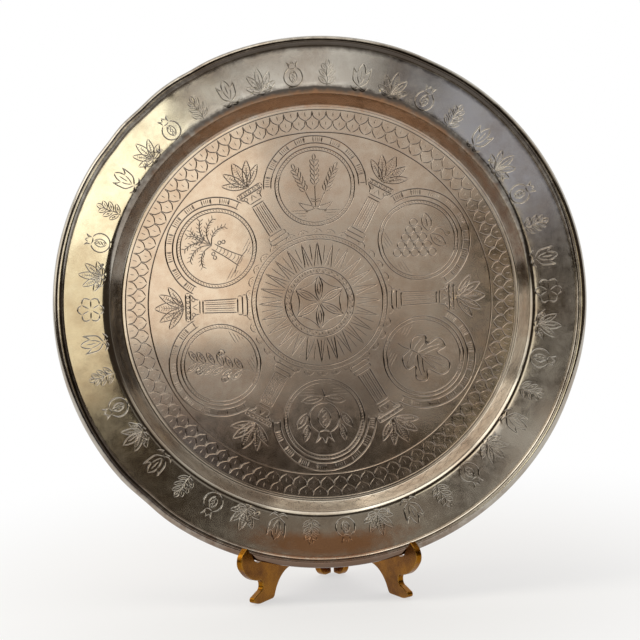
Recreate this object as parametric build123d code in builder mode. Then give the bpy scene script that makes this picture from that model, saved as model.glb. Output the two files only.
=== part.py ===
from build123d import *
import os
from math import asin, atan2, cos, degrees, hypot, radians, sin, sqrt, tan

# A round dish of plated sheet copper, shown upright on a folding brass easel of two hinged wings.
# Millimetres, +Z up. The dish faces -Y, and the origin is on the table, under the middle of the box.

# Dish: one sheet with a flat floor, a wall, a sloping flange and a rim rolled round a wire
PLATE_DIAMETER = 330.0  # over the rolled rim
SHEET = 1.1  # thickness of the copper
WIRE_DIAMETER = 4.6
WIRE_PLAY = 0.05  # room all round the wire
SEAM = 0.8  # gap between the sheet's raw edge and the back of the flange
SEAM_LAP = 0.13  # how far the gap reaches in behind the flange's back
RIM_SINK = 1.0  # the flange meets the rim this far behind the middle of the wire
RIM_FOOT_BEND = 0.8
FLANGE_WIDTH = 26.1
FLANGE_FALL = 5.5  # how far the flange sinks from the rim to the shoulder
SHOULDER_BEND = 3.0
WELL_DEPTH = 10.5  # from the shoulder to the floor
WALL_RUN = 8.0  # how far the wall comes in on its way down
FLOOR_BEND = 2.0

# Stance of the open easel
LEAN = 13.0  # degrees that the dish leans back
OPENING = 63.0  # degrees between the wings
SEAT_REACH = 82.0  # hinge axis to the middle of the rim, along a wing's inner face
SEAT_HEIGHT = 30.3  # table to the middle of the rim, where it lies in a hook
SEAT_GAP = 0.3  # room between the rim and the hook
BACK_GAP = 0.3  # room between the dish's back and an upright

# Wing: a flat plate, its outline measured along the wing (out from the hinge axis) and upwards
WING_THICKNESS = 4.0
WING_HEIGHT = 184.0
EDGE_ROUND = 0.5
CORNER_ROUND = 1.0
REAR_EDGE = 1.0  # hinge axis to the rear edge
LOBE_REACH = 14.6  # hinge axis to the front of the rear foot
LOBE_ROUND = 8.8
ARCH_HEIGHT = 15.6
ARCH_ROUND = 5.4
LEG_START = 22.5  # the leg leaves the arch this far behind the seat
LEG_SWEEP = 22.0
HEEL_BACK = 14.5  # heel behind the seat
HEEL_ROUND = 3.0
SOLE_FRONT = 2.9  # the toe turns up this far in front of the seat
SOLE_SWEEP = 14.0
TOE_FRONT = 10.2  # corner of the toe in front of the seat
TOE_HEIGHT = 3.6
TOE_ROUND = 1.8
NECK_BACK = 3.0  # neck above the toe, behind the seat
NECK_LOW = 8.4
NECK_HIGH = 12.0  # top of the neck, below the ledge
NECK_ROUND = 3.2
BELLY_FRONT = 10.4  # corner of the hook's belly in front of the seat
BELLY_DROP = 9.8  # and below the ledge
BELLY_SWEEP = 25.0
NOSE_FRONT = 22.4  # corner of the hook's nose in front of the seat
NOSE_RISE = 4.6  # and above the ledge
NOSE_ROUND = 7.0
HOOK_RISE = 11.6  # tip of the hook above the ledge
HOOK_SLOPE = 52.6  # degrees, inner edge of the hook
NOTCH_ROOM = 3.8  # how much rounder the notch is than the rim
UPRIGHT_BACK = 56.0  # front of the upright, behind the seat
WEB_SWEEP = 40.0  # sweep from the ledge into the upright
REST_SWEEP = 60.0  # where the upright turns to follow the dish's back
TOP_STEP = 0.464  # share of the upright's depth that the ogee takes off at the top
TOP_ROUND = 4.0
OGEE_LOW = 134.0
OGEE_HIGH = 158.0
OGEE_SWEEP = 30.0
ROUNDS_SHARE = 0.98  # the share of a straight side that its two rounds may take

# Two hinges on one upright axis: the left wing has the outer knuckles, the right wing the middle one
FOLD_GAP = 0.2  # hinge axis to the inner face of a wing
LOWER_HINGE = 14.0  # table to the lowest knuckle
UPPER_HINGE = 92.0
KNUCKLE = 10.0
KNUCKLE_GAP = 0.3
PIN_DIAMETER = 4.0
PIN_PLAY = 0.05
HEAD_DIAMETER = 6.4
HEAD_HEIGHT = 1.6
HEAD_ROUND = 1.2
HINGE_ROOM = 0.4  # room between a wing and what turns beside it
WEB_LAP = 0.8  # how far a knuckle's web runs into its wing

# What follows from those sizes
half_opening = radians(OPENING / 2)
lean = radians(LEAN)
bead = WIRE_DIAMETER / 2 + WIRE_PLAY + SHEET
wire_ring = PLATE_DIAMETER / 2 - bead
rim_foot = wire_ring - bead
shoulder_radius = rim_foot - FLANGE_WIDTH
floor_radius = shoulder_radius - WALL_RUN
shoulder_depth = RIM_SINK + FLANGE_FALL
floor_depth = shoulder_depth + WELL_DEPTH
back_depth = floor_depth + SHEET
barrel = FOLD_GAP + WING_THICKNESS
hinge_room = max(barrel, HEAD_DIAMETER / 2) + HINGE_ROOM
hinge_height = 3 * KNUCKLE + 2 * KNUCKLE_GAP

# Where the rim crosses a wing: its direction there, split along, across and up the wing
seat_x = SEAT_REACH * sin(half_opening) + FOLD_GAP * cos(half_opening)
seat_y = FOLD_GAP * sin(half_opening) - SEAT_REACH * cos(half_opening)
seat_turn = asin(seat_x / wire_ring)
rim_along = cos(seat_turn) * sin(half_opening) - sin(seat_turn) * sin(lean) * cos(half_opening)
rim_across = cos(seat_turn) * cos(half_opening) + sin(seat_turn) * sin(lean) * sin(half_opening)
rim_up = sin(seat_turn) * cos(lean)

# The notch is an arc that clears the slanting rim at both faces of the wing
rim_half_length = bead * sqrt(1 - rim_up**2) / rim_across
shift_along = WING_THICKNESS * rim_along / rim_across
shift_up = WING_THICKNESS * rim_up / rim_across
shift = hypot(shift_along, shift_up)
notch_radius = rim_half_length + SEAT_GAP + NOTCH_ROOM
notch_lift = sqrt(NOTCH_ROOM**2 - shift**2 / 4)
notch_along = SEAT_REACH + shift_along / 2 - notch_lift * shift_up / shift
notch_height = SEAT_HEIGHT + shift_up / 2 + notch_lift * shift_along / shift
ledge = notch_height - notch_radius
hook_slope = radians(HOOK_SLOPE)
notch_corner = notch_along + notch_radius * tan(hook_slope / 2)

# The dish stands with its rim in both notches
plate_y = seat_y + wire_ring * cos(seat_turn) * sin(lean)
plate_z = SEAT_HEIGHT + wire_ring * cos(seat_turn) * cos(lean)


def back_of_dish(height):
    """How far along a wing the dish's back lies at a height, less the room behind it."""
    behind_seat = (height - SEAT_HEIGHT) * tan(lean) + (back_depth + BACK_GAP) / cos(lean)
    return SEAT_REACH - behind_seat / cos(half_opening)


def height_of_back(along):
    """The height at which the dish's back lies that far along a wing."""
    behind_seat = (SEAT_REACH - along) * cos(half_opening)
    return SEAT_HEIGHT + (behind_seat - (back_depth + BACK_GAP) / cos(lean)) / tan(lean)


upright_front = SEAT_REACH - UPRIGHT_BACK
top_front = back_of_dish(WING_HEIGHT)
top_rear = REAR_EDGE + TOP_STEP * (top_front - REAR_EDGE)

# Corners of the wing's outline from the rear foot round the toe, the hook and the top, with their rounds
WING_CORNERS = [
    ((REAR_EDGE, 0), CORNER_ROUND),
    ((LOBE_REACH, 0), LOBE_ROUND),
    ((LOBE_REACH, ARCH_HEIGHT), ARCH_ROUND),
    ((SEAT_REACH - LEG_START, ARCH_HEIGHT), LEG_SWEEP),
    ((SEAT_REACH - HEEL_BACK, 0), HEEL_ROUND),
    ((SEAT_REACH + SOLE_FRONT, 0), SOLE_SWEEP),
    ((SEAT_REACH + TOE_FRONT, TOE_HEIGHT), TOE_ROUND),
    ((SEAT_REACH - NECK_BACK, NECK_LOW), NECK_ROUND),
    ((SEAT_REACH - NECK_BACK, ledge - NECK_HIGH), NECK_ROUND),
    ((SEAT_REACH + BELLY_FRONT, ledge - BELLY_DROP), BELLY_SWEEP),
    ((SEAT_REACH + NOSE_FRONT, ledge + NOSE_RISE), NOSE_ROUND),
    ((notch_corner + HOOK_RISE / tan(hook_slope), ledge + HOOK_RISE), CORNER_ROUND),
    ((notch_corner, ledge), notch_radius),
    ((upright_front, ledge), WEB_SWEEP),
    ((upright_front, height_of_back(upright_front)), REST_SWEEP),
    ((top_front, WING_HEIGHT), TOP_ROUND),
    ((top_rear, WING_HEIGHT), TOP_ROUND),
    ((top_rear, OGEE_HIGH), OGEE_SWEEP),
    ((REAR_EDGE, OGEE_LOW), OGEE_SWEEP),
]


def fitting_rounds(corners):
    """The rounds of a closed outline's corners, each no larger than the sides beside it leave room for."""
    points = [Vector(*corner) for corner, _ in corners]
    sides = [point - points[i - 1] for i, point in enumerate(points)]
    sides_out = sides[1:] + sides[:1]
    bends = [tan(radians(a.get_angle(b)) / 2) for a, b in zip(sides, sides_out)]
    taken = [rounding * bend for (_, rounding), bend in zip(corners, bends)]
    spare = [min(1, ROUNDS_SHARE * side.length / (taken[i] + taken[i - 1])) for i, side in enumerate(sides)]
    spare_out = spare[1:] + spare[:1]
    return [rounding * min(a, b) for (_, rounding), a, b in zip(corners, spare, spare_out)]


with BuildLine() as wing_outline:
    FilletPolyline(
        *[corner for corner, _ in WING_CORNERS], radius=fitting_rounds(WING_CORNERS), close=True
    )

# The hinge axis stands where the noses of the hooks and the dish's back are equally far from the origin
wing_reach = wing_outline.line.bounding_box().max.X
wall_turn = atan2(WELL_DEPTH, WALL_RUN)
floor_flat = floor_radius - FLOOR_BEND * tan(wall_turn / 2)
front_y = FOLD_GAP * sin(half_opening) - wing_reach * cos(half_opening)
back_y = plate_y + floor_flat * sin(lean) + (floor_depth - FLOOR_BEND) * cos(lean) + FLOOR_BEND + SHEET
hinge_y = -(front_y + back_y) / 2

# Section plane of the dish: X out from its middle, Y towards the viewer
plate_centre = Vector(0, hinge_y + plate_y, plate_z)
plate_facing = Vector(0, -cos(lean), sin(lean))
plate_axis = Axis(plate_centre, plate_facing)
section = Plane(origin=plate_centre, x_dir=(1, 0, 0), z_dir=Vector(1, 0, 0).cross(plate_facing))

with BuildPart() as plate:
    seam_angle = 180 + degrees(asin((RIM_SINK + SHEET + SEAM / 2 - SEAM_LAP) / bead))
    flange_slope = FLANGE_FALL / FLANGE_WIDTH
    with BuildSketch(section) as sheet_section:
        with Locations((wire_ring, 0)):
            Circle(bead)
            Rectangle(
                2 * bead, SEAM, rotation=seam_angle, align=(Align.MIN, Align.CENTER), mode=Mode.SUBTRACT
            )
        with BuildLine():
            FilletPolyline(
                (0, -floor_depth),
                (floor_radius, -floor_depth),
                (shoulder_radius, -shoulder_depth),
                (wire_ring, flange_slope * bead - RIM_SINK),
                radius=[FLOOR_BEND, SHOULDER_BEND],
            )
            offset(amount=SHEET, side=Side.RIGHT)
        make_face()
        with Locations((wire_ring, 0)):
            Circle(bead - SHEET, mode=Mode.SUBTRACT)
        foot = sheet_section.vertices().sort_by_distance((rim_foot, -RIM_SINK))[0]
        fillet(foot, radius=RIM_FOOT_BEND)
    revolve(axis=plate_axis)
plate.part.label = "plate"

with BuildPart() as rim_wire:
    with BuildSketch(section):
        with Locations((wire_ring, 0)):
            Circle(WIRE_DIAMETER / 2)
    revolve(axis=plate_axis)
rim_wire.part.label = "rim_wire"


def make_wing(side, knuckles):
    """A wing on the right (side 1) or the left (side -1), with the numbered knuckles of each hinge."""
    along = Vector(side * sin(half_opening), -cos(half_opening), 0)
    outward = Vector(side * cos(half_opening), sin(half_opening), 0)
    hinge_foot = Vector(0, hinge_y, 0)
    inner_face = Plane(
        origin=hinge_foot + outward * FOLD_GAP, x_dir=along, z_dir=along.cross(Vector(0, 0, 1))
    )
    with BuildPart() as wing:
        with BuildSketch(inner_face):
            add(wing_outline.line)
            make_face()
        extrude(amount=-side * WING_THICKNESS)
        flat_faces = wing.faces().sort_by(SortBy.AREA)[-2:]
        fillet(flat_faces.edges(), radius=EDGE_ROUND)
        for level in (LOWER_HINGE, UPPER_HINGE):
            room = HEAD_HEIGHT + HINGE_ROOM
            with BuildSketch(Plane(origin=hinge_foot + Vector(0, 0, level - room))):
                Circle(hinge_room)
            extrude(amount=hinge_height + 2 * room, mode=Mode.SUBTRACT)
            for knuckle in knuckles:
                height = level + knuckle * (KNUCKLE + KNUCKLE_GAP)
                web = hinge_room + WEB_LAP
                with BuildSketch(Plane(origin=hinge_foot + Vector(0, 0, height), x_dir=along)):
                    Circle(barrel)
                    with Locations((web / 2, side * (FOLD_GAP + WING_THICKNESS / 2))):
                        Rectangle(web, WING_THICKNESS)
                    Circle(PIN_DIAMETER / 2 + PIN_PLAY, mode=Mode.SUBTRACT)
                extrude(amount=KNUCKLE)
    return wing.part


def make_pin(level):
    """A hinge pin with a domed head at each end, its shank as long as the three knuckles."""
    with BuildPart() as pin:
        with BuildSketch(Plane(origin=(0, hinge_y, level))):
            Circle(PIN_DIAMETER / 2)
        extrude(amount=hinge_height)
        for height, upwards in ((level, -1), (level + hinge_height, 1)):
            with BuildSketch(Plane(origin=(0, hinge_y, height))):
                Circle(HEAD_DIAMETER / 2)
            extrude(amount=upwards * HEAD_HEIGHT)
        ends = pin.faces().sort_by(Axis.Z)
        fillet(ends[0].edges() + ends[-1].edges(), radius=HEAD_ROUND)
    return pin.part


left_wing = make_wing(-1, (0, 2))
left_wing.label = "left_wing"

right_wing = make_wing(1, (1,))
right_wing.label = "right_wing"

lower_hinge_pin = make_pin(LOWER_HINGE)
lower_hinge_pin.label = "lower_hinge_pin"

upper_hinge_pin = make_pin(UPPER_HINGE)
upper_hinge_pin.label = "upper_hinge_pin"

os.makedirs("parts", exist_ok=True)
for piece in (plate.part, rim_wire.part, left_wing, right_wing, lower_hinge_pin, upper_hinge_pin):
    export_step(piece, f"parts/{piece.label}.step")
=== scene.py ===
from cmath import exp, phase, pi, rect
from math import atan2, cos, degrees, hypot, radians, sin, sqrt, tan

import bmesh
import bpy
import numpy as np
from mathutils import Euler, Matrix, Vector, noise
from mathutils.geometry import delaunay_2d_cdt
from mathutils.kdtree import KDTree


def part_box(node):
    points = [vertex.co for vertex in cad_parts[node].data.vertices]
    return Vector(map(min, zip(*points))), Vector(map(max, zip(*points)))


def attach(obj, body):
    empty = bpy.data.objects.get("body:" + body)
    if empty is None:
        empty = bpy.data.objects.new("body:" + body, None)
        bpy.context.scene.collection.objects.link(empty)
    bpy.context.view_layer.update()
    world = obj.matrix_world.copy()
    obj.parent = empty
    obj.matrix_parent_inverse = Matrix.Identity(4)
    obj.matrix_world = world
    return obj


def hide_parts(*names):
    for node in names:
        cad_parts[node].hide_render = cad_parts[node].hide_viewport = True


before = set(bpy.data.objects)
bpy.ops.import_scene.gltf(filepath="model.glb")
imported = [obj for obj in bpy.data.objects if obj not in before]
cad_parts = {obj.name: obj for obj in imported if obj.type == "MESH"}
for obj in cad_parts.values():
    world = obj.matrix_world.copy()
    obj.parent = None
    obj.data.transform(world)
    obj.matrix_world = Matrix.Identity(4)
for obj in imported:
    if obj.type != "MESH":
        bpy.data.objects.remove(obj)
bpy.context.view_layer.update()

# A hand-engraved dish of silver-plated copper on a folding brass easel.
# Drawings and sections are in millimetres in the dish's own plane; meshes are in metres in the CAD's frame.
MM = 0.001

# Section of the dish, out from its middle and towards the viewer: the CAD's, with a rounder shoulder
SHEET = 1.1
WIRE_RING = 161.55  # radius of the ring that the wire in the rim makes
WIRE_BED = 2.35  # inside of the rolled rim
BEAD = 3.45  # outside of the rolled rim
FLOOR_RADIUS, FLOOR_DEPTH, FLOOR_BEND = 124.0, 17.0, 2.0
SHOULDER_RADIUS, SHOULDER_DEPTH, SHOULDER_BEND = 132.0, 6.5, 8.0
BEND_FACETS = 6
RIM_FOOT_DEPTH = 0.97  # where the flange runs into the rim, behind the middle of the wire
CURL_END = radians(-130)  # the sheet's raw edge, behind the rim
RIM_RADIUS = 165
LEAN = radians(13)
TURNS = 240  # facets round the dish

wire_low, wire_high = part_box("rim_wire")
facing = Vector((0, -cos(LEAN), sin(LEAN)))
upward = Vector((0, sin(LEAN), cos(LEAN)))
dish_place = Matrix.Translation((wire_low + wire_high) / 2) @ Matrix(
    ((1, 0, 0), upward, facing)
).transposed().to_4x4() @ Matrix.Scale(MM, 4)


def linear(hex_colour):
    """An sRGB hex colour as linear RGBA."""
    parts = [int(hex_colour[i : i + 2], 16) / 255 for i in (1, 3, 5)]
    return [p / 12.92 if p <= 0.04045 else ((p + 0.055) / 1.055) ** 2.4 for p in parts] + [1]


def add(tree, kind, inputs=None, **settings):
    """Adds a node, sets its settings, and fills its inputs with values or links."""
    made = tree.nodes.new(kind)
    for name, value in settings.items():
        setattr(made, name, value)
    for name, value in (inputs or {}).items():
        if isinstance(value, bpy.types.NodeSocket):
            tree.links.new(value, made.inputs[name])
        else:
            made.inputs[name].default_value = value
    return made


def new_material(name):
    """An empty node material and its tree."""
    made = bpy.data.materials.new(name)
    made.use_nodes = True
    made.node_tree.nodes.clear()
    return made, made.node_tree


# Drawing with the graver: a stroke is a line of complex points (x + iy) with the width of its cut.
# Motifs are drawn at the top of the dish, upright, and then repeated round it.
BOLD, PLAIN, FINE, HAIR = 0.92, 0.74, 0.58, 0.46
ARC_STEP, BOW_POINTS, FLOW_POINTS = 0.6, 17, 13  # fineness of the drawn curves
STEP = 1.55  # spacing of points along a cut
TAPER, TAPER_CURVE = 1.5, 0.6  # a cut runs out to nothing over this length at each end, full for most of it
VEIN_GAP = 1.5
CUT_SLOPE = 0.72  # steepness of a cut's sides
CLOSED = 1e-6  # a line whose ends lie nearer than this is a loop


def line(a, b):
    return [a, b]


def arc(centre, radius, start, end):
    """An arc between two angles in degrees."""
    count = max(6, int(abs(radians(end - start)) * radius / ARC_STEP))
    return [centre + rect(radius, radians(start + (end - start) * i / count)) for i in range(count + 1)]


def ring(centre, radius):
    return arc(centre, radius, 0, 360)


def bow(a, b, rise):
    """A shallow curve from a to b that stands off its chord to the left by rise."""
    top = (a + b) / 2 + 2 * rise * 1j * (b - a) / abs(b - a)
    return [a * (1 - t) ** 2 + 2 * top * t * (1 - t) + b * t * t for t in np.linspace(0, 1, BOW_POINTS)]


def flow(*points):
    """A smooth line through points."""
    p = [2 * points[0] - points[1], *points, 2 * points[-1] - points[-2]]
    made = [points[0]]
    for a, b, c, d in zip(p, p[1:], p[2:], p[3:]):
        slope, bend, twist = c - a, 2 * a - 5 * b + 4 * c - d, 3 * b - a - 3 * c + d
        for t in np.linspace(0, 1, FLOW_POINTS)[1:]:
            made.append(0.5 * (2 * b + slope * t + bend * t**2 + twist * t**3))
    return made


def both(points):
    """A line and its mirror image across the upright middle line."""
    return [points, [-p.conjugate() for p in points]]


def cuts(width, *lines):
    """Lines as strokes of one width."""
    return [(points, width) for points in lines]


def moved(strokes, by, size=1.0):
    """Strokes drawn at another place and size, with the graver's widths kept."""
    return [([p * size + by for p in points], width) for points, width in strokes]


def turned(points, angle):
    """A line turned round the dish's middle by degrees."""
    return [p * rect(1, radians(angle)) for p in points]


def veins(base, tip, width):
    """Slanting hair cuts on both sides of a leaf's midrib."""
    way = tip - base
    seats = np.arange(3, abs(way) - 3.4, VEIN_GAP) / abs(way)
    return [
        line(base + way * (at + 0.02), base + way * at + 0.36 * width * way / abs(way) * rect(1, side))
        for at in seats
        for side in (0.9, -0.9)
    ]


def leaf(base, tip, width):
    """A pointed leaf with a midrib and veins."""
    sides = cuts(PLAIN, bow(base, tip, width / 2), bow(base, tip, -width / 2))
    rib = cuts(FINE, line(base + 0.2 * (tip - base), base + 0.75 * (tip - base)))
    return sides + rib + cuts(HAIR, *veins(base, tip, width))


def hatched(centre, inner, outer, start, end, gap, slant):
    """Hair cuts across a band round a centre, each turned on by slant degrees at its outer end."""
    count = int(abs(radians(end - start)) * outer / gap)
    made = []
    for k in range(count):
        at = start + (end - start) * k / count
        made.append(line(centre + rect(inner, radians(at)), centre + rect(outer, radians(at + slant))))
    return cuts(HAIR, *made)


def tulip():
    made = cuts(BOLD, *both(flow(2j, -4.6 + 5.4j, -5.8 + 10j, -6.2 + 15.6j)))
    made += cuts(BOLD, *both(bow(-6.2 + 15.6j, -2.7 + 10.8j, -0.7)), *both(bow(-2.7 + 10.8j, 17.8j, 0.9)))
    made += cuts(PLAIN, *both(flow(-2.7 + 10.8j, -1.9 + 7.2j, 3.6j)), line(7j, 14j))
    made += cuts(BOLD, *both(flow(1.9j, -3.4 + 0.4j, -6.4 + 2.2j)))
    return made + cuts(BOLD, *both(flow(0.4j, -3 - 0.9j, -6.4 + 2.2j)))


def sprig():
    made = cuts(PLAIN, flow(-0.2j, 0.5 + 5j, -0.4 + 10j, 14j))
    for low, reach, high in ((1.6, 6.2, 6.6), (6.2, 5.8, 11.4), (10.6, 4.2, 15.4)):
        made += leaf(low * 1j, reach + high * 1j, 3) + leaf(low * 1j, -reach + high * 1j, 3)
    return made + leaf(13j, 18.4j, 3.2)


def pomegranate():
    made = cuts(BOLD, arc(7.2j, 6.5, 112, 428))
    made += cuts(BOLD, *both(bow(-2.4 + 13.2j, -4.2 + 17.8j, -0.6)), *both(line(-4.2 + 17.8j, -1.4 + 15.2j)))
    made += cuts(BOLD, *both(line(-1.4 + 15.2j, 18.2j)), bow(-2.4 + 13.2j, 2.4 + 13.2j, -0.7))
    made += cuts(PLAIN, *both(bow(2.6j, 11.8j, 2.7)))
    return made + cuts(FINE, *[ring(h * 1j, 0.95) for h in (4.9, 7.2, 9.5)])


def palmette():
    made = []
    for turn, reach, width in ((0, 16, 5), (34, 14.6, 4.4), (68, 11.6, 3.8)):
        for side in (1, -1) if turn else (1,):
            made += leaf(2j, 2j + rect(reach, radians(90 + side * turn)), width)
    made += cuts(PLAIN, arc(1.6j, 2.4, 200, 340))
    return made + cuts(PLAIN, *both(flow(2j, -3.6 + 0.2j, -6.6 + 1.6j, -6.2 + 3.6j, -4.6 + 3j)))


def flower():
    """The six-petalled flower that divides the border."""
    made = []
    for k in range(6):
        crease, next_crease = rect(6.2, pi * k / 3), rect(6.2, pi * (k + 1) / 3)
        made += cuts(BOLD, line(0.2 * crease, crease), bow(crease, next_crease, -2.8))
    return made


def wheat():
    made = []
    foot = -17j
    for lean, reach in ((24, 17), (0, 20), (-24, 17)):
        up = rect(1, radians(90 + lean))
        made += cuts(PLAIN, line(foot + 3 * up, foot + reach * up))
        for i in range(5):
            seat = foot + (reach - 2 + 3 * i) * up
            for side in (1, -1):
                made += cuts(PLAIN, *[bow(seat, seat + 5 * up * rect(1, side * 0.55), r) for r in (1, -1)])
        made += cuts(PLAIN, *[bow(foot + (reach + 13) * up, foot + (reach + 18) * up, r) for r in (1, -1)])
    for height in (-9, -7.6):
        made += cuts(PLAIN, bow(-3.4 + height * 1j, 3.4 + height * 1j, -0.6))
    made += cuts(PLAIN, *both(flow(-14j, -6 - 15j, -11 - 10j)))
    return made + cuts(PLAIN, *both(flow(-13j, -6 - 11.5j, -11 - 10j)))


def grapes():
    made = []
    for row in range(5):
        for i in range(5 - row):
            made += cuts(PLAIN, ring((i - (4 - row) / 2) * 5.5 + (3.4 - 4.7 * row) * 1j, 2.45))
    made += cuts(PLAIN, flow(6j, 0.6 + 10j, -0.4 + 14j, 1 + 18.5j))
    for side in (1, -1):
        made += leaf(side + 8.5j, side * 12.5 + 12.5j, 6)
    tendril = flow(0.2 + 14.6j, 3.4 + 16.6j, 6.6 + 16j, 8 + 18j, 6.4 + 19.2j, 5.4 + 17.9j)
    return made + cuts(FINE, tendril)


def fig():
    edge = [-9j, -7 - 11j, -12 - 5j, -7.5 - 1.5j, -14.5 + 3j, -12 + 9j, -6 + 6.4j, -5 + 15j, 18.5j]
    made = cuts(BOLD, *both(flow(*edge)))
    made += cuts(PLAIN, flow(-19j, 0.8 - 14j, -9j), line(-9j, 14j))
    for tip in (-9.5 - 6j, -11.5 + 5.6j, -3.6 + 12j):
        made += cuts(PLAIN, *both(bow(-8j + 0.25j * (tip.imag + 9), tip, 0.8)))
        made += cuts(FINE, *both(bow(-5j + 0.3j * (tip.imag + 9), tip * 0.8 + 1.5j, 0.5)))
    return made


def fruit_branch():
    """A ripe pomegranate between leaves."""
    made = moved(pomegranate(), -11j, 1.45)
    made += cuts(PLAIN, flow(-11.3j, -0.6 - 15j, 1 - 19.5j))
    for side in (1, -1):
        made += leaf(-13.5j, side * 14 - 11j, 4.6) + leaf(side * 10.4 - 4j, side * 17.5 + 6j, 4.4)
        made += leaf(side * 10 + 3j, side * 12.6 + 14j, 4)
    return made


def olive():
    spine = flow(-13 - 13.5j, -6 - 5j, 1 + 2j, 7 + 9.5j, 12 + 16j)
    made = cuts(PLAIN, spine)
    for at in range(5, 46, 7):
        way = spine[at + 1] - spine[at]
        for side in (1, -1):
            made += leaf(spine[at], spine[at] + 9.4 * way / abs(way) * rect(1, side * 0.85), 3.2)
    for place in (-9 + 2.5j, 6 - 4.2j, 3.4 + 13.6j):
        made += cuts(PLAIN, ring(place, 2.1), line(place + 0.9, place - 0.7))
    return made


def date_palm():
    made = cuts(PLAIN, *both(flow(-3.4 - 18j, -2.2 - 8j, -1.9 + 3j)), bow(-9 - 17.6j, 9 - 17.6j, 1.4))
    for i in range(8):
        half, height = 2.7 - 0.1 * i, (2.4 * i - 16.6) * 1j
        made += cuts(FINE, bow(-half + height, half + height, -0.9))
    for turn, reach, sag in ((8, 17, 2), (38, 18, 3.4), (66, 17.5, 4), (98, 15, 3.6)):
        for frond in both(bow(3.4j, 3.4j + rect(reach, radians(90 - turn)), sag)):
            made += cuts(PLAIN, frond)
            for at in range(5, 17, 2):
                way = frond[at] - frond[at - 1]
                for side in (1, -1):
                    tip = frond[at] + 3.1 * way / abs(way) * rect(1, side * 0.75)
                    made += cuts(FINE, line(frond[at], tip))
    return made + cuts(PLAIN, *[ring(x + 1j * y, 1.1) for x, y in ((-4, 0), (4, 0), (-5.6, -2), (5.6, -2))])


def column():
    """A fluted column with its base towards the middle, and leaves above its capital."""
    made = cuts(BOLD, *both(line(-4.2 + 51.2j, -3.8 + 73j)), line(-4.6 + 73j, 4.6 + 73j))
    made += cuts(PLAIN, *both(line(-1.4 + 52j, -1.3 + 72.4j)), line(-4.6 + 75j, 4.6 + 75j))
    made += cuts(HAIR, *both(line(-2.7 + 52.4j, -2.5 + 72j)), line(52.4j, 72j))
    made += cuts(BOLD, line(-6.4 + 45.2j, 6.4 + 45.2j), line(-6.4 + 48.2j, 6.4 + 48.2j))
    made += cuts(BOLD, *both(line(-6.4 + 45.2j, -6.4 + 48.2j)), line(-5 + 51.2j, 5 + 51.2j))
    made += cuts(PLAIN, *both(bow(-5.2 + 48.2j, -5 + 51.2j, 0.9)))
    made += cuts(BOLD, *both(flow(-4.4 + 75j, -5 + 78j, -8.2 + 80.8j)), line(-8.8 + 81j, 8.8 + 81j))
    made += cuts(BOLD, line(-8.8 + 83.8j, 8.8 + 83.8j), *both(line(-8.8 + 81j, -8.8 + 83.8j)))
    made += cuts(FINE, *[ring(x + 82.4j, 0.8) for x in (-6.4, -3.2, 0, 3.2, 6.4)])
    made += cuts(FINE, *both(ring(-4.6 + 79j, 1.1)), line(-2 + 76j, 0.2 + 80j), line(2 + 76j, -0.2 + 80j))
    made += leaf(84.6j, 103.5j, 7)
    for side in (1, -1):
        made += leaf(85j, side * 8.6 + 100.6j, 5) + leaf(85.4j, side * 13.4 + 94.6j, 4.4)
    return made


FIELD = 73j  # middle of a round field
ARCH_INNER, ARCH_OUTER = 27.6, 32.2
STONE = 11  # degrees of the arch that one stone takes
SHELL = 42.7j  # middle of a shell on the ring below a field


def round_field():
    """A ringed field under an arch of stones, with ground lines in it and shells below it."""
    made = cuts(BOLD, ring(FIELD, 25)) + cuts(PLAIN, ring(FIELD, 22.8))
    made += cuts(BOLD, arc(FIELD, ARCH_INNER, -2, 182), arc(FIELD, ARCH_OUTER, -2, 182))
    for k in range(17):
        joint = rect(1, radians(2 + STONE * k))
        made += cuts(PLAIN, line(FIELD + ARCH_INNER * joint, FIELD + ARCH_OUTER * joint))
        if k % 2:
            start, end = 3.2 + STONE * k, 12.6 + STONE * k
            made += hatched(FIELD, ARCH_INNER + 0.5, ARCH_OUTER - 0.5, start, end, 1.1, 0)
    made += hatched(FIELD, 23.1, 24.7, 0, 360, 1.9, 3)
    for drop in (15.2, 16.9, 18.6, 20.3):
        end = sqrt(21.8**2 - drop**2)
        made += cuts(HAIR, *both(line(FIELD - end - drop * 1j, FIELD - 5.5 - drop * 1j)))
    for k in range(-2, 3):
        made += cuts(FINE, turned(arc(SHELL, 3.4, 12, 168), 11 * k))
        for rib in (45, 90, 135):
            way = rect(1, radians(rib))
            made += cuts(HAIR, turned(line(SHELL + 0.9 * way, SHELL + 2.7 * way), 11 * k))
    return made


def middle_petal():
    made = cuts(BOLD, *both(bow(0.8j, 17j, 2.28)))
    made += cuts(PLAIN, *both(bow(4.4j, 13.6j, 1)))
    return made + cuts(PLAIN, bow(17j, 17 * rect(1, radians(150)), 2.2))


def sun_ray():
    made = cuts(PLAIN, *both(line(-2.4 + 22.3j, 38.2j))) + cuts(FINE, line(23j, 33j))
    return made + cuts(FINE, turned(line(26j, 37j), 7.5))


SCALES = 84  # in one row round the well


def scale():
    """A scale of the band round the well, with the one behind it half a scale on."""
    half = 180 / SCALES
    upper = [turned(side, half) for side in both(flow(-4.4 + 121j, -3.6 + 117.2j, 114.4j))]
    made = cuts(PLAIN, *both(flow(-4.1 + 115.4j, -3.4 + 111.6j, 108.7j)), *upper)
    return made + cuts(FINE, line(114.4j, 111.4j), turned(line(120.4j, 117.2j), half))


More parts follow.
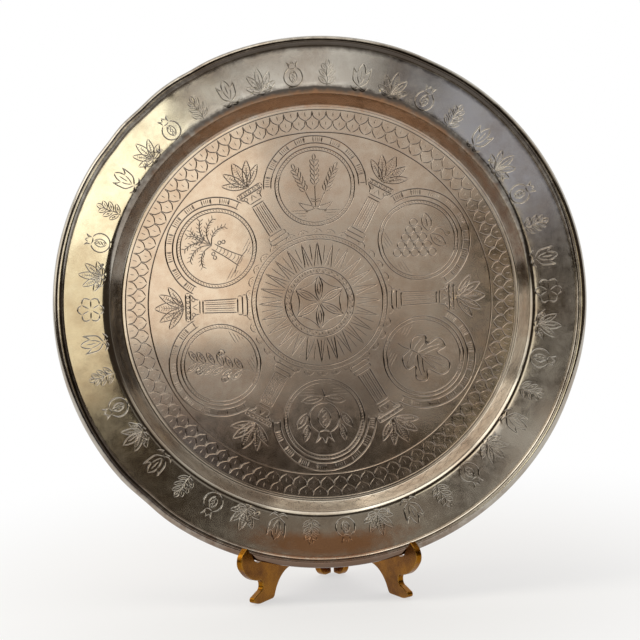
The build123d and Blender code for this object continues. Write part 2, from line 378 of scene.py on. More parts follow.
def ring_of_cuts_tree():
    """Repeats a drawn motif round the dish, each a little out of true, as a hand leaves it."""
    tree = bpy.data.node_groups.new("ring_of_cuts", "GeometryNodeTree")
    tree.interface.new_socket("Motif", in_out="INPUT", socket_type="NodeSocketGeometry")
    tree.interface.new_socket("Count", in_out="INPUT", socket_type="NodeSocketInt")
    for name in ("Step", "First", "Wander", "Seed"):
        tree.interface.new_socket(name, in_out="INPUT", socket_type="NodeSocketFloat")
    tree.interface.new_socket("Cuts", in_out="OUTPUT", socket_type="NodeSocketGeometry")
    given = add(tree, "NodeGroupInput").outputs
    seats = add(tree, "GeometryNodePoints", {"Count": given["Count"]}).outputs[0]
    index = add(tree, "GeometryNodeInputIndex").outputs[0]
    turn = add(
        tree, "ShaderNodeMath", {0: index, 1: given["Step"], 2: given["First"]}, operation="MULTIPLY_ADD"
    ).outputs[0]
    rotation = add(tree, "ShaderNodeCombineXYZ", {"Z": turn}).outputs[0]
    copies = add(
        tree,
        "GeometryNodeInstanceOnPoints",
        {"Points": seats, "Instance": given["Motif"], "Rotation": rotation},
    ).outputs[0]
    lines = add(tree, "GeometryNodeRealizeInstances", {0: copies}).outputs[0]
    waver = add(
        tree, "ShaderNodeTexNoise", {"W": given["Seed"], "Scale": 0.07, "Detail": 2.0}, noise_dimensions="4D"
    ).outputs["Color"]
    centred = add(tree, "ShaderNodeVectorMath", {0: waver, 1: (0.5, 0.5, 0)}, operation="SUBTRACT").outputs[0]
    flat = add(tree, "ShaderNodeVectorMath", {0: centred, 1: (1, 1, 0)}, operation="MULTIPLY").outputs[0]
    shift = add(
        tree, "ShaderNodeVectorMath", {0: flat, "Scale": given["Wander"]}, operation="SCALE"
    ).outputs[0]
    drawn = add(tree, "GeometryNodeSetPosition", {"Geometry": lines, "Offset": shift}).outputs[0]
    finished = add(tree, "GeometryNodeSetMaterial", {"Geometry": drawn, "Material": silvered_copper})
    add(tree, "NodeGroupOutput", {0: finished.outputs[0]})
    return tree


def evaluated(mesh, tree, **inputs):
    """The plain mesh that a node tree makes of a mesh."""
    holder = bpy.data.objects.new("holder", mesh)
    bpy.context.scene.collection.objects.link(holder)
    made_by = holder.modifiers.new("nodes", "NODES")
    made_by.node_group = tree
    for item in tree.interface.items_tree:
        if item.in_out == "INPUT" and item.name in inputs:
            made_by[item.identifier] = inputs[item.name]
    depsgraph = bpy.context.evaluated_depsgraph_get()
    made = bpy.data.meshes.new_from_object(holder.evaluated_get(depsgraph))
    holder.modifiers.clear()
    bpy.data.objects.remove(holder)
    return made


def even(points):
    """A line's points spaced evenly, at most STEP apart."""
    p = np.array(points)
    run = np.concatenate([[0], np.cumsum(np.abs(np.diff(p)))])
    fewest = 8 if abs(p[0] - p[-1]) < CLOSED else 2
    pieces = max(fewest, int(np.ceil(run[-1] / STEP)))
    at = np.linspace(0, run[-1], pieces + 1)
    return np.interp(at, run, p.real) + 1j * np.interp(at, run, p.imag), at


def round_the_dish(strokes, count=1, step=360.0, first=0.0, wander=0.7):
    """Cuts a motif count times round the dish: a list of (points, widths, closed)."""
    points, widths, edges, lengths, closed = [], [], [], [], []
    for drawn, width in strokes:
        p, at = even(drawn)
        loop = abs(p[0] - p[-1]) < CLOSED
        if loop:
            p, w = p[:-1], np.full(len(p) - 1, width)
        else:
            w = width * np.minimum(1, np.minimum(at, at[-1] - at) / min(TAPER, at[-1] / 3)) ** TAPER_CURVE
        start = len(points)
        edges += [(start + i, start + i + 1) for i in range(len(p) - 1)]
        points += [(z.real, z.imag, 0) for z in p]
        widths += list(w)
        lengths.append(len(p))
        closed.append(loop)
    mesh = bpy.data.meshes.new("motif")
    mesh.from_pydata(points, edges, [])
    round_the_dish.seed += 1
    copies = evaluated(
        mesh,
        cut_tree,
        Count=count,
        Step=radians(step),
        First=radians(first),
        Wander=wander,
        Seed=float(round_the_dish.seed),
    )
    xyz = np.zeros(len(copies.vertices) * 3)
    copies.vertices.foreach_get("co", xyz)
    made = []
    for copy in xyz.reshape(count, len(points), 3):
        middle = copy[:, 0] + 1j * copy[:, 1]
        for end, length, loop in zip(np.cumsum(lengths), lengths, closed):
            made.append((middle[end - length : end], np.array(widths[end - length : end]), loop))
    return made


round_the_dish.seed = 0


# Section of the sheet's face, from the middle to the foot of the rolled rim
def rounded(corners, bends):
    """A section line with its inner corners bent round."""
    made = [corners[0]]
    for a, b, c, bend in zip(corners, corners[1:], corners[2:], bends):
        into, out = (b - a) / abs(b - a), (c - b) / abs(c - b)
        turn = phase(out / into)
        middle = b - into * bend * tan(abs(turn) / 2) + into * 1j * (bend if turn > 0 else -bend)
        start = b - into * bend * tan(abs(turn) / 2) - middle
        made += [middle + start * exp(1j * turn * k / BEND_FACETS) for k in range(BEND_FACETS + 1)]
    return made + [corners[-1]]


rim_foot = complex(WIRE_RING - sqrt(BEAD**2 - RIM_FOOT_DEPTH**2), -RIM_FOOT_DEPTH)
floor_edge, shoulder = complex(FLOOR_RADIUS, -FLOOR_DEPTH), complex(SHOULDER_RADIUS, -SHOULDER_DEPTH)
face = np.array(
    rounded([complex(0, -FLOOR_DEPTH), floor_edge, shoulder, rim_foot], [FLOOR_BEND, SHOULDER_BEND])
)
face_run = np.concatenate([[0], np.cumsum(np.abs(np.diff(face)))])
face_way = np.gradient(face)
face_normal = 1j * face_way / np.abs(face_way)
face_normal[0] = 1j

# Hammering and use have left slow and quick waves in the sheet, which run out before the stiff rim
SLOW_WAVE, SLOW_HEIGHT = 52, 0.2
QUICK_WAVE, QUICK_HEIGHT = 17, 0.05
WAVES_FADE, WAVES_END = 150, 158
# Knocks on the rim: where, in degrees, how wide in degrees, and how deep
DENTS = ((227, 4.5, 0.9), (141, 3.5, 0.7), (131, 4, 0.9), (117, 3, 0.5), (62, 5, 0.4), (338, 6, 0.4))
DENTS_START, DENTS_FULL = 135, 160


def waviness(x, y):
    """How far the sheet is moved towards the viewer."""
    slow = noise.noise((x / SLOW_WAVE, y / SLOW_WAVE, 3.1))
    quick = noise.noise((x / QUICK_WAVE, y / QUICK_WAVE, 8.4))
    steady = min(1, max(0, (hypot(x, y) - WAVES_FADE) / (WAVES_END - WAVES_FADE)))
    return (SLOW_HEIGHT * slow + QUICK_HEIGHT * quick) * (1 - steady)


def dented(x, y):
    """The share of a point's radius that is left where the rim has been knocked in."""
    angle = degrees(atan2(y, x)) % 360
    knocked = sum(depth * np.exp(-(((angle - at) / wide) ** 2)) for at, wide, depth in DENTS)
    near_rim = min(1, max(0, (hypot(x, y) - DENTS_START) / (DENTS_FULL - DENTS_START)))
    return 1 - knocked / RIM_RADIUS * near_rim**2


# Points on the plain ground between the cuts, in rows that stand a little out of line
GROUND, GROUND_ROW, GROUND_STRAY = 5, 0.866, 0.9
GROUND_SEATS = range(-40, 41)
CLEAR_OF_RIM, CLEAR_OF_BENDS, CLEAR_OF_CUTS = 1.5, 1.2, 1.3
CUTS_NEARBY = 4  # how many points of cuts may shape one point of the face


def engraved_face(strokes):
    """The dish's face as points, triangles and depths of cut. Each cut is a V with edges of its own."""
    points, edges, lines, width_at = [], [], [], []
    before, after = [], []
    for middle, width, loop in strokes:
        along = np.roll(middle, -1) - np.roll(middle, 1) if loop else np.gradient(middle)
        side = 0.5j * width * along / np.abs(along)
        start = len(lines)
        count = len(middle)
        lines += list(middle)
        width_at += list(width)
        after += [start + (i + 1) % count if loop or i + 1 < count else start + i for i in range(count)]
        before += [start + (i - 1) % count if loop or i else start + i for i in range(count)]
        for edge in (middle, middle + side, middle - side):
            first = len(points)
            points += [Vector((z.real, z.imag)) for z in edge]
            edges += [(first + i, first + (i + 1) % count) for i in range(count if loop else count - 1)]
    lines, width_at = np.array(lines), np.array(width_at)
    near = KDTree(len(lines))
    for i, z in enumerate(lines):
        near.insert((z.real, z.imag, 0), i)
    near.balance()
    for run in face_run[1:]:
        first = len(points)
        for k in range(TURNS):
            turn = 2 * pi * k / TURNS
            points.append(Vector((run * cos(turn), run * sin(turn))))
            edges.append((first + k, first + (k + 1) % TURNS))
    for row in GROUND_SEATS:
        for seat in GROUND_SEATS:
            x = (seat + 0.5 * (row % 2)) * GROUND + GROUND_STRAY * noise.noise((seat * 3.7, row * 2.9, 1))
            y = row * GROUND * GROUND_ROW + GROUND_STRAY * noise.noise((seat * 2.3, row * 4.1, 6))
            far = hypot(x, y)
            inside = far < face_run[-1] - CLEAR_OF_RIM
            off_bends = np.abs(face_run[1:] - far).min() > CLEAR_OF_BENDS
            if inside and off_bends and near.find((x, y, 0))[2] > CLEAR_OF_CUTS:
                points.append(Vector((x, y)))
    flat, _, triangles, *_ = delaunay_2d_cdt(points, edges, [], 1, 1e-4)
    xy = np.array([v[:] for v in flat])
    found = np.array([[i for _, i, _ in near.find_n((x, y, 0), CUTS_NEARBY)] for x, y in xy])
    here = (xy[:, 0] + 1j * xy[:, 1])[:, None]
    depth = np.zeros(len(xy))
    for other in (np.array(after), np.array(before)):
        a, b = lines[found], lines[other[found]]
        chord = b - a
        share = np.clip(((here - a) * chord.conj()).real / np.maximum(np.abs(chord) ** 2, 1e-12), 0, 1)
        away = np.abs(here - a - share * chord)
        width = width_at[found] * (1 - share) + width_at[other[found]] * share
        depth = np.maximum(depth, (CUT_SLOPE * (width / 2 - away)).max(axis=1))
    run = np.abs(here[:, 0])
    turn = here[:, 0] / np.maximum(run, 1e-9)
    section = np.interp(run, face_run, face.real) + 1j * np.interp(run, face_run, face.imag)
    normal = np.interp(run, face_run, face_normal.real) + 1j * np.interp(run, face_run, face_normal.imag)
    section = section - depth * normal / np.abs(normal)
    xyz = np.column_stack([section.real * turn.real, section.real * turn.imag, section.imag])
    return xyz, triangles, depth


def spun_sheet_tree():
    """Spins a section round the middle of the dish, as the sheet was turned."""
    tree = bpy.data.node_groups.new("spun_sheet", "GeometryNodeTree")
    for name, kind in (("Section", "Geometry"), ("Turns", "Int"), ("Radius", "Float")):
        tree.interface.new_socket(name, in_out="INPUT", socket_type="NodeSocket" + kind)
    tree.interface.new_socket("Sheet", in_out="OUTPUT", socket_type="NodeSocketGeometry")
    given = add(tree, "NodeGroupInput").outputs
    path = add(
        tree, "GeometryNodeCurvePrimitiveCircle", {"Resolution": given["Turns"], "Radius": given["Radius"]}
    ).outputs[0]
    section = add(tree, "GeometryNodeMeshToCurve", {"Mesh": given["Section"]}).outputs[0]
    spun = add(tree, "GeometryNodeCurveToMesh", {"Curve": path, "Profile Curve": section}).outputs[0]
    closed = add(tree, "GeometryNodeMergeByDistance", {"Geometry": spun, "Distance": 0.001}).outputs[0]
    real = add(tree, "GeometryNodeRealizeInstances", {0: closed}).outputs[0]
    finished = add(tree, "GeometryNodeSetMaterial", {"Geometry": real, "Material": silvered_copper})
    add(tree, "NodeGroupOutput", {0: finished.outputs[0]})
    return tree


RIM_FACETS, BED_FACETS = 22, 8
BED_OPEN = 0.5  # radians of the wire's bed that the flange closes
BACK_STEP = 10  # longest facet of the back, outwards
BACK_CLEAR = 0.6  # the back starts this far inside the foot of the rim


def rim_and_back():
    """The rolled rim and the sheet's back, from the foot of the rim round to the middle behind."""
    start = phase(rim_foot - WIRE_RING) % (2 * pi)
    outside = [WIRE_RING + rect(BEAD, a) for a in np.linspace(start, CURL_END, RIM_FACETS)]
    inside = [WIRE_RING + rect(WIRE_BED, a) for a in np.linspace(CURL_END, start + BED_OPEN, BED_FACETS)]
    behind = (face - SHEET * face_normal)[::-1]
    back = []
    for a, b in zip(behind, behind[1:]):
        pieces = max(1, int(abs(b - a) / BACK_STEP))
        back += [a + (b - a) * k / pieces for k in range(pieces)]
    section = outside + inside + [z for z in back if z.real < rim_foot.real - BACK_CLEAR] + [behind[-1]]
    mesh = bpy.data.meshes.new("section")
    flat = [(z.real - WIRE_RING, -z.imag, 0) for z in section]
    mesh.from_pydata(flat, [(i, i + 1) for i in range(len(flat) - 1)], [])
    return evaluated(mesh, spun_sheet_tree(), Turns=TURNS, Radius=WIRE_RING)


# Silver plate worn thin over sheet copper, spun, polished by hand and long tarnished: a soft, slightly
# uneven mirror, grey and cream where plating is left, brown and rosy where copper shows through, and dark
# in the cuts. Some dark and brown patches are painted shade and painted reflection, partly over tarnish and
# copper. Patterns are laid out in millimetres in the dish's own plane.
silvered_copper, tree = new_material("worn_silver_plate_on_copper")
middle, turn, size = dish_place.inverted().decompose()
place = add(tree, "ShaderNodeTexCoord").outputs["Object"]
plane = add(
    tree,
    "ShaderNodeMapping",
    {"Vector": place, "Location": middle, "Rotation": turn.to_euler(), "Scale": size},
).outputs[0]
split = add(tree, "ShaderNodeSeparateXYZ", {0: plane}).outputs
level = add(tree, "ShaderNodeCombineXYZ", {"X": split["X"], "Y": split["Y"]}).outputs[0]
radius = add(tree, "ShaderNodeVectorMath", {0: level}, operation="LENGTH").outputs["Value"]
angle = add(tree, "ShaderNodeMath", {0: split["Y"], 1: split["X"]}, operation="ARCTAN2").outputs[0]
way_round = add(tree, "ShaderNodeCombineXYZ", {"X": radius, "Y": angle}).outputs[0]
cut = add(tree, "ShaderNodeAttribute", attribute_name="cut").outputs["Fac"]
bare = add(tree, "ShaderNodeAttribute", attribute_name="bare").outputs["Fac"]

# Clouds of tarnish 40 mm across, mottling of 6 mm, and polishing marks 0.6 mm apart that run round the dish
clouds = add(
    tree, "ShaderNodeTexNoise", {"Vector": plane, "Scale": 1 / 40, "Detail": 5.0, "Roughness": 0.62}
).outputs[0]
mottle = add(
    tree, "ShaderNodeTexNoise", {"Vector": plane, "Scale": 1 / 6, "Detail": 4.0, "Roughness": 0.7}
).outputs[0]
stretched = add(
    tree, "ShaderNodeVectorMath", {0: way_round, 1: (1.6, 2.2, 0)}, operation="MULTIPLY"
).outputs[0]
marks = add(
    tree, "ShaderNodeTexNoise", {"Vector": stretched, "Scale": 1.0, "Detail": 3.0, "Roughness": 0.65}
).outputs[0]
on_floor = add(
    tree,
    "ShaderNodeMapRange",
    {0: radius, 1: 119.0, 2: 126.0, 3: 1.0, 4: 0.0},
    interpolation_type="SMOOTHSTEP",
).outputs[0]
tarnish = add(
    tree,
    "ShaderNodeMapRange",
    {0: clouds, 1: 0.4, 2: 0.7, 3: 0.0, 4: 0.5},
    interpolation_type="SMOOTHSTEP",
).outputs[0]
speckle = add(tree, "ShaderNodeMapRange", {0: mottle, 1: 0.35, 2: 0.7, 3: 0.0, 4: 0.3}).outputs[0]
floor_speckle = add(tree, "ShaderNodeMath", {0: speckle, 1: on_floor}, operation="MULTIPLY").outputs[0]


def patch_of_wear_and_painted_shade(radius, angle, reach, spread):
    """How much of a patch lies round a place, out to a reach in mm and a spread in degrees: worn plating and
    tarnish, and also painted shade and painted reflection.
    """
    centre, size = (radius, radians(angle), 0), (reach, radians(spread), 1)
    away = add(tree, "ShaderNodeVectorMath", {0: way_round, 1: centre}, operation="SUBTRACT").outputs[0]
    shares = add(tree, "ShaderNodeVectorMath", {0: away, 1: size}, operation="DIVIDE").outputs[0]
    far = add(tree, "ShaderNodeVectorMath", {0: shares}, operation="LENGTH").outputs["Value"]
    ragged = add(tree, "ShaderNodeMath", {0: mottle, 1: 0.9, 2: far}, operation="MULTIPLY_ADD").outputs[0]
    return add(
        tree,
        "ShaderNodeMapRange",
        {0: ragged, 1: 1.55, 2: 0.75, 3: 0.0, 4: 0.9},
        interpolation_type="SMOOTHSTEP",
    ).outputs[0]


# Layers of colour, the lower ones first: how much of the one below each hides, and its own colour
plating = linear("#b7b1a6")
layers = [(on_floor, "#a69b8f"), (tarnish, "#86705c"), (floor_speckle, "#a08470")]
for strength, colour, places in (
    # Dark on the rolled rim, above and at the left, partly tarnish and partly painted dark reflection;
    # painted shade on the upper shoulder, where the bend faces down
    (1.0, "#3a312a", ((160.2, 75, 4.2, 115), (160.4, -150, 2.8, 46), (132.8, 80, 3.8, 95))),
    # Brown on the rolled rim below
    (1.0, "#725a4a", ((163.5, -92, 6.5, 45),)),
    # Bare copper at the foot of the rim below, and on the upper wall, where the copper colour is partly a
    # painted warm reflection
    (1.0, "#a87c58", ((151.0, -91, 10.5, 24),)),
    (1.0, "#a67c5a", ((127.6, 82, 5.6, 85),)),
    # Thin brown painted shade on both sides of the wall, and low on the floor a brown patch, partly tarnish
    # and partly painted dark reflection
    (0.5, "#4a3c32", ((127.6, 36, 6.0, 30), (127.6, 143, 6.0, 30), (50.0, -68, 38.0, 70))),
):
    wear_and_painted_shade = patch_of_wear_and_painted_shade(*places[0])
    for other in places[1:]:
        wear_and_painted_shade = add(
            tree, "ShaderNodeMath", {0: wear_and_painted_shade, 1: patch_of_wear_and_painted_shade(*other)}, operation="MAXIMUM"
        ).outputs[0]
    hidden = add(tree, "ShaderNodeMath", {0: wear_and_painted_shade, 1: strength}, operation="MULTIPLY").outputs[0]
    layers.append((hidden, colour))
# The plated face's colour gets its wear and tarnish here, and the painted shade and painted reflection above
for hidden, colour in layers:
    plating = add(
        tree, "ShaderNodeMix", {0: hidden, 6: plating, 7: linear(colour)}, data_type="RGBA"
    ).outputs[2]

# The unplated back: brown oxide in clouds over copper, paler in rings where the spinning tool has run
oxide = add(
    tree,
    "ShaderNodeMapRange",
    {0: clouds, 1: 0.3, 2: 0.75, 3: 0.1, 4: 0.6},
    interpolation_type="SMOOTHSTEP",
).outputs[0]
copper = add(
    tree, "ShaderNodeMix", {0: marks, 6: linear("#8f6248"), 7: linear("#a87a5c")}, data_type="RGBA"
).outputs[2]
oxidised = add(
    tree, "ShaderNodeMix", {0: oxide, 6: copper, 7: linear("#5e4132")}, data_type="RGBA"
).outputs[2]
metal = add(tree, "ShaderNodeMix", {0: bare, 6: plating, 7: oxidised}, data_type="RGBA").outputs[2]
dirt = add(tree, "ShaderNodeMath", {0: cut, 1: 0.3}, operation="MULTIPLY").outputs[0]
dirty = add(tree, "ShaderNodeMix", {0: dirt, 6: metal, 7: linear("#3c2f26")}, data_type="RGBA").outputs[2]
gloss = add(tree, "ShaderNodeMapRange", {0: mottle, 1: 0.3, 2: 0.7, 3: 0.1, 4: 0.16}).outputs[0]
cut_gloss = add(tree, "ShaderNodeMath", {0: cut, 1: 0.08, 2: gloss}, operation="MULTIPLY_ADD").outputs[0]
dull = add(tree, "ShaderNodeMath", {0: bare, 1: 0.16, 2: cut_gloss}, operation="MULTIPLY_ADD").outputs[0]
lift = add(tree, "ShaderNodeMath", {0: marks, 1: mottle}, operation="ADD").outputs[0]
relief = add(tree, "ShaderNodeBump", {"Strength": 0.05, "Distance": 0.04 * MM, "Height": lift}).outputs[0]
shader = add(
    tree,
    "ShaderNodeBsdfPrincipled",
    {"Base Color": dirty, "Metallic": 1.0, "Roughness": dull, "Normal": relief},
)
add(tree, "ShaderNodeOutputMaterial", {"Surface": shader.outputs[0]})


def brass(name, bright, dark, roughness, grain):
    """Brass with 14 mm stains and edges rubbed bright; grain is the size of its surface marks in mm."""
    made, tree = new_material(name)
    place = add(tree, "ShaderNodeTexCoord").outputs["Object"]
    stains = add(
        tree, "ShaderNodeTexNoise", {"Vector": place, "Scale": 1 / (14 * MM), "Detail": 4.0, "Roughness": 0.6}
    ).outputs[0]
    skin = add(
        tree, "ShaderNodeTexNoise", {"Vector": place, "Scale": 1 / (grain * MM), "Detail": 3.0}
    ).outputs[0]
    soft = add(tree, "ShaderNodeBevel", {"Radius": 0.9 * MM}, samples=6).outputs[0]
    true = add(tree, "ShaderNodeNewGeometry").outputs["Normal"]
    alike = add(tree, "ShaderNodeVectorMath", {0: soft, 1: true}, operation="DOT_PRODUCT").outputs["Value"]
    edge = add(tree, "ShaderNodeMapRange", {0: alike, 1: 0.995, 2: 0.9, 3: 0.0, 4: 0.85}).outputs[0]
    stained = add(tree, "ShaderNodeMapRange", {0: stains, 1: 0.35, 2: 0.68, 3: 0.0, 4: 1.0}).outputs[0]
    body = add(
        tree, "ShaderNodeMix", {0: stained, 6: linear(bright), 7: linear(dark)}, data_type="RGBA"
    ).outputs[2]
    rubbed = add(tree, "ShaderNodeMix", {0: edge, 6: body, 7: linear("#d8b468")}, data_type="RGBA").outputs[2]
    gloss = add(
        tree, "ShaderNodeMapRange", {0: skin, 1: 0.3, 2: 0.7, 3: roughness - 0.06, 4: roughness + 0.08}
    ).outputs[0]
    relief = add(tree, "ShaderNodeBump", {"Strength": 0.4, "Distance": 0.05 * MM, "Height": skin}).outputs[0]
    shader = add(
        tree,
        "ShaderNodeBsdfPrincipled",
        {"Base Color": rubbed, "Metallic": 1.0, "Roughness": gloss, "Normal": relief},
    )
    add(tree, "ShaderNodeOutputMaterial", {"Surface": shader.outputs[0]})
    return made


# Sand-cast brass, filed and buffed: golden brown with darker stains, a fine pebbled skin and worn edges
cast_brass = brass("cast_brass", "#976316", "#693e0b", 0.28, 1.2)
# Turned brass rod, a little brighter and smoother
turned_brass = brass("turned_brass_pin", "#b98a36", "#8c6222", 0.24, 0.5)

# Drawn steel wire with a thin brown film in patches of 8 mm, seen only in the gap behind the rim
steel_wire, tree = new_material("drawn_steel_wire")
place = add(tree, "ShaderNodeTexCoord").outputs["Object"]
film = add(tree, "ShaderNodeTexNoise", {"Vector": place, "Scale": 1 / (8 * MM), "Detail": 4.0}).outputs[0]
steel = add(
    tree, "ShaderNodeMix", {0: film, 6: linear("#8b8780"), 7: linear("#5d4a3c")}, data_type="RGBA"
).outputs[2]
shader = add(tree, "ShaderNodeBsdfPrincipled", {"Base Color": steel, "Metallic": 1.0, "Roughness": 0.42})
add(tree, "ShaderNodeOutputMaterial", {"Surface": shader.outputs[0]})

for name, finish in (
    ("left_wing", cast_brass),
    ("right_wing", cast_brass),
    ("lower_hinge_pin", turned_brass),
    ("upper_hinge_pin", turned_brass),
    ("rim_wire", steel_wire),
):
    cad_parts[name].data.materials.clear()
    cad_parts[name].data.materials.append(finish)

# The engraving: a leafy border on the flange, and in the well six fruits of the land under a ring of arches
BORDER, BORDER_SIZE = 139.2j, 0.93  # foot of the border's motifs, and their scale
BORDER_STEP = 360 / 42
FLOWER = 147j  # middle of the border's two flowers
STEADY = 0.4  # how far the graver wanders on a ring struck with compasses
cut_tree = ring_of_cuts_tree()
engraving = []
for half in (0, 180):
    for seat, motif in enumerate((tulip, sprig, pomegranate, palmette)):
        first = half + BORDER_STEP * (seat + 1)
        engraving += round_the_dish(moved(motif(), BORDER, BORDER_SIZE), 5, 4 * BORDER_STEP, first - 90)
engraving += round_the_dish(moved(flower(), FLOWER), 2, 180, 90)
engraving += round_the_dish(middle_petal(), 6, 60)
engraving += round_the_dish(cuts(BOLD, *[ring(0, r) for r in (17.8, 21.6, 39.6, 107.2)]), wander=STEADY)
engraving += round_the_dish(cuts(PLAIN, *[ring(0, r) for r in (42.4, 121.6)]), wander=STEADY)
engraving += round_the_dish(cuts(FINE, ring(19.7j, 1.1)), 32, 360 / 32)
engraving += round_the_dish(sun_ray(), 24, 15)
engraving += round_the_dish(hatched(0, 40.1, 41.9, 0, 360, 2.1, 2.4), wander=STEADY)
engraving += round_the_dish(round_field(), 6, 60)
engraving += round_the_dish(column(), 6, 60, 30)
engraving += round_the_dish(scale(), SCALES, 360 / SCALES)
for k, motif in enumerate((wheat, grapes, fig, fruit_branch, olive, date_palm)):
    engraving += round_the_dish(moved(motif(), FIELD), first=-60 * k)

# The dish: its engraved face, sewn to the rolled rim and the back
DEEP_CUT = 0.36  # a cut of this depth holds all the dirt there is
SEAM = 0.002
CREASE = radians(26)  # sharper folds than this show as edges
PLATED_TO, BARE_FROM = 55, 105  # degrees round behind the rim, between which the plating runs out
RIM_SLACK, EDGE_SLACK = 0.1, 2  # millimetres and degrees by which a point may miss the rim and its raw edge
points, triangles, depth = engraved_face(engraving)
back_mesh = rim_and_back()
back_points = [v.co[:] for v in back_mesh.vertices]
back_faces = [[i + len(points) for i in facet.vertices] for facet in back_mesh.polygons]
dish_mesh = bpy.data.meshes.new("engraved_dish")
dish_mesh.from_pydata(
    [tuple(p) for p in points] + back_points, [], [list(t) for t in triangles] + back_faces
)
cut_layer = dish_mesh.attributes.new("cut", "FLOAT", "POINT")
cut_layer.data.foreach_set("value", np.append(np.clip(depth / DEEP_CUT, 0, 1), np.zeros(len(back_points))))
merged = bmesh.new()
merged.from_mesh(dish_mesh)
bmesh.ops.remove_doubles(merged, verts=merged.verts, dist=SEAM)
bmesh.ops.recalc_face_normals(merged, faces=merged.faces)
merged.to_mesh(dish_mesh)
merged.free()

placed, unplated = [], []
for v in dish_mesh.vertices:
    x, y, w = v.co
    far = hypot(x, y)
    from_wire = complex(far - WIRE_RING, w)
    if abs(from_wire) < BEAD + RIM_SLACK:
        round_wire = (degrees(phase(from_wire) - CURL_END) + EDGE_SLACK) % 360 + degrees(CURL_END)
        behind = min(1, max(0, (-round_wire - PLATED_TO) / (BARE_FROM - PLATED_TO)))
    else:
        behind = float(w < np.interp(far, face.real, face.imag) - SHEET / 2)
    unplated.append(behind)
    left = dented(x, y)
    placed.extend(dish_place @ Vector((x * left, y * left, w + waviness(x, y))))
dish_mesh.vertices.foreach_set("co", placed)
bare_layer = dish_mesh.attributes.new("bare", "FLOAT", "POINT")
bare_layer.data.foreach_set("value", unplated)
dish_mesh.materials.append(silvered_copper)
dish_mesh.shade_smooth()
dish_mesh.set_sharp_from_angle(angle=CREASE)
engraved_dish = bpy.data.objects.new("engraved_dish", dish_mesh)
bpy.context.scene.collection.objects.link(engraved_dish)
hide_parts("plate")
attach(engraved_dish, "plate")

# Pale floor that runs out to white, and keeps the shadow near the easel
FLOOR_HALF = 6  # metres
floor_paint, tree = new_material("pale_matt_floor")
seen = add(tree, "ShaderNodeLightPath").outputs
mirrored = add(
    tree, "ShaderNodeMath", {0: seen["Is Glossy Ray"], 1: seen["Is Transmission Ray"]}, operation="MAXIMUM"
).outputs[0]
shown = add(
    tree, "ShaderNodeMath", {0: seen["Is Camera Ray"], 1: mirrored}, operation="MAXIMUM"
).outputs[0]
place = add(tree, "ShaderNodeTexCoord").outputs["Object"]
away = add(tree, "ShaderNodeVectorMath", {0: place}, operation="LENGTH").outputs["Value"]
spread = add(
    tree,
    "ShaderNodeMapRange",
    {0: away, 1: 0.1, 2: 0.4, 3: 0.6, 4: 1.0},
    interpolation_type="SMOOTHSTEP",
).outputs[0]
white = add(tree, "ShaderNodeMath", {0: spread, 1: shown}, operation="MULTIPLY").outputs[0]
matt = add(tree, "ShaderNodeBsdfDiffuse", {"Color": linear("#f2f1ee")}).outputs[0]
glow = add(tree, "ShaderNodeEmission", {"Color": (1, 1, 1, 1), "Strength": 1.0}).outputs[0]
paint = add(tree, "ShaderNodeMixShader", {0: white, 1: matt, 2: glow}).outputs[0]
add(tree, "ShaderNodeOutputMaterial", {"Surface": paint})
floor_mesh = bpy.data.meshes.new("floor")
floor_corners = [(FLOOR_HALF * x, FLOOR_HALF * y, 0) for x, y in ((-1, -1), (1, -1), (1, 1), (-1, 1))]
floor_mesh.from_pydata(floor_corners, [], [(0, 1, 2, 3)])
floor_mesh.materials.append(floor_paint)
floor = bpy.data.objects.new("floor", floor_mesh)
bpy.context.scene.collection.objects.link(floor)

# Studio: white behind the dish, a dimmer room in front of it, and soft boxes
world = bpy.data.worlds.new("studio")
bpy.context.scene.world = world
world.use_nodes = True
tree = world.node_tree
tree.nodes.clear()
way = add(tree, "ShaderNodeSeparateXYZ", {0: add(tree, "ShaderNodeTexCoord").outputs["Generated"]}).outputs
behind = add(
    tree,
    "ShaderNodeMapRange",
    {0: way["Y"], 1: -0.15, 2: 0.3, 3: 0.0, 4: 1.0},
    interpolation_type="SMOOTHSTEP",
).outputs[0]
seen = add(tree, "ShaderNodeLightPath").outputs
shown = add(tree, "ShaderNodeMath", {0: seen["Is Camera Ray"], 1: behind}, operation="MAXIMUM").outputs[0]
room = add(
    tree, "ShaderNodeMix", {0: shown, 6: linear("#40382f"), 7: (1, 1, 1, 1)}, data_type="RGBA"
).outputs[2]
sky = add(tree, "ShaderNodeBackground", {"Color": room, "Strength": 1.0})
add(tree, "ShaderNodeOutputWorld", {"Surface": sky.outputs[0]})

DISH_HEIGHT = 0.18  # middle of the dish above the floor, in metres
FAR_LAMP = 2.2  # metres from there to the windows


def soft_box(name, place, width, height, level, colour, aim=(0, 0, DISH_HEIGHT)):
    """A soft box of a given brightness, where 1 shows as white."""
    light = bpy.data.lights.new(name, "AREA")
    light.shape = "RECTANGLE"
    light.size, light.size_y = width, height
    light.color = linear(colour)[:3]
    light.energy = level * pi * width * height
    box = bpy.data.objects.new(name, light)
    box.location = place
    box.rotation_euler = (Vector(aim) - Vector(place)).to_track_quat("-Z", "Y").to_euler()
    box.visible_camera = False
    bpy.context.scene.collection.objects.link(box)


def across_the_room(turn, rise):
    """A far place in front of the dish, so many degrees to the viewer's right and upwards."""
    level = FAR_LAMP * cos(radians(rise))
    height = DISH_HEIGHT + FAR_LAMP * sin(radians(rise))
    return level * sin(radians(turn)), -level * cos(radians(turn)), height


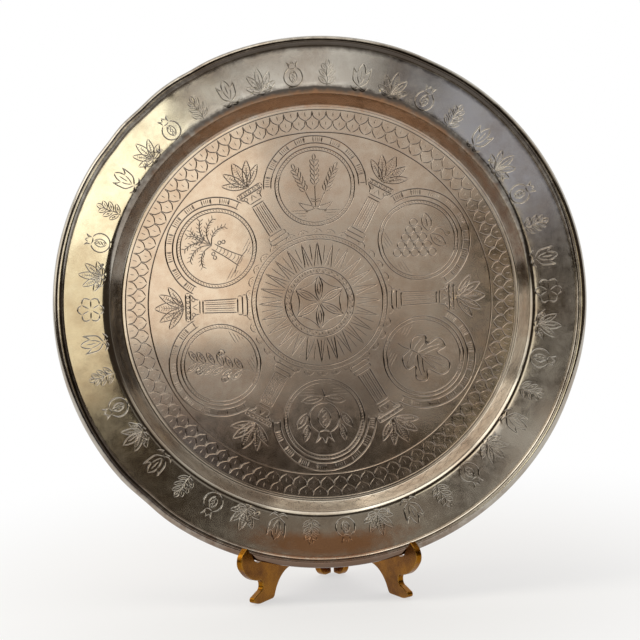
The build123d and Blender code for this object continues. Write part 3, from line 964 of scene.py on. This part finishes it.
# Small panels close by, which the flat floor of the well mirrors
soft_box("near_left", (-0.12, -0.42, 0.385), 0.13, 0.18, 1.42, "#fff6e2", (-0.12, 0, 0.385))
soft_box("near_right", (0.05, -0.42, 0.48), 0.22, 0.16, 0.32, "#fffaf2", (0.05, 0, 0.48))
# Windows across the room, which the sloping flange mirrors
soft_box("far_right", across_the_room(13, 9), 0.4, 0.4, 3.0, "#fffbe0")
soft_box("far_right_high", across_the_room(14, 18.5), 0.4, 0.32, 1.6, "#fff0cb")
soft_box("far_low", across_the_room(2, 0), 0.6, 0.4, 1.0, "#ffffff")
soft_box("far_middle", across_the_room(-5, 21), 0.7, 0.5, 0.85, "#fffaf2")
soft_box("far_left", across_the_room(-13, 8), 0.4, 0.4, 0.68, "#e2e9ff")
soft_box("far_left_high", across_the_room(-21, 32), 0.4, 0.4, 1.0, "#ffffff")
soft_box("far_high", across_the_room(-3, 34), 0.5, 0.3, 0.3, "#fff4e6")
# Daylight from the left and from above, and a pale wall at the right
soft_box("side_window", (-1, -0.15, 0.5), 0.6, 0.4, 1.4, "#fdf8ee")
soft_box("side_window_high", (-0.9, -0.15, 0.95), 0.6, 0.4, 2.7, "#fdf8ee")
soft_box("overhead_left", (-0.45, -0.1, 1.2), 0.45, 0.6, 2.4, "#fffaf0")
soft_box("overhead", (0, -0.1, 1.25), 0.45, 0.6, 1.3, "#fffaf0")
soft_box("overhead_right", (0.45, -0.1, 1.2), 0.45, 0.6, 0.5, "#fffaf0")
soft_box("right_wall", (0.9, -0.15, 0.95), 0.6, 0.4, 0.45, "#fff4e6")

# Camera where the photograph was taken from
EYE = Vector((31.1, -1486.0, 391.8)) * MM
YAW, PITCH, ROLL = radians(1.195), radians(-8.497), radians(-2.584)
lens = bpy.data.cameras.new("camera")
lens.lens, lens.sensor_width = 136.95, 36
camera = bpy.data.objects.new("camera", lens)
camera.location = EYE
look = Euler((radians(90) + PITCH, 0, YAW)).to_matrix()
camera.rotation_euler = (look @ Matrix.Rotation(ROLL, 3, "Z")).to_euler()
bpy.context.scene.collection.objects.link(camera)
bpy.context.scene.camera = camera
bpy.context.scene.view_settings.view_transform = "Standard"
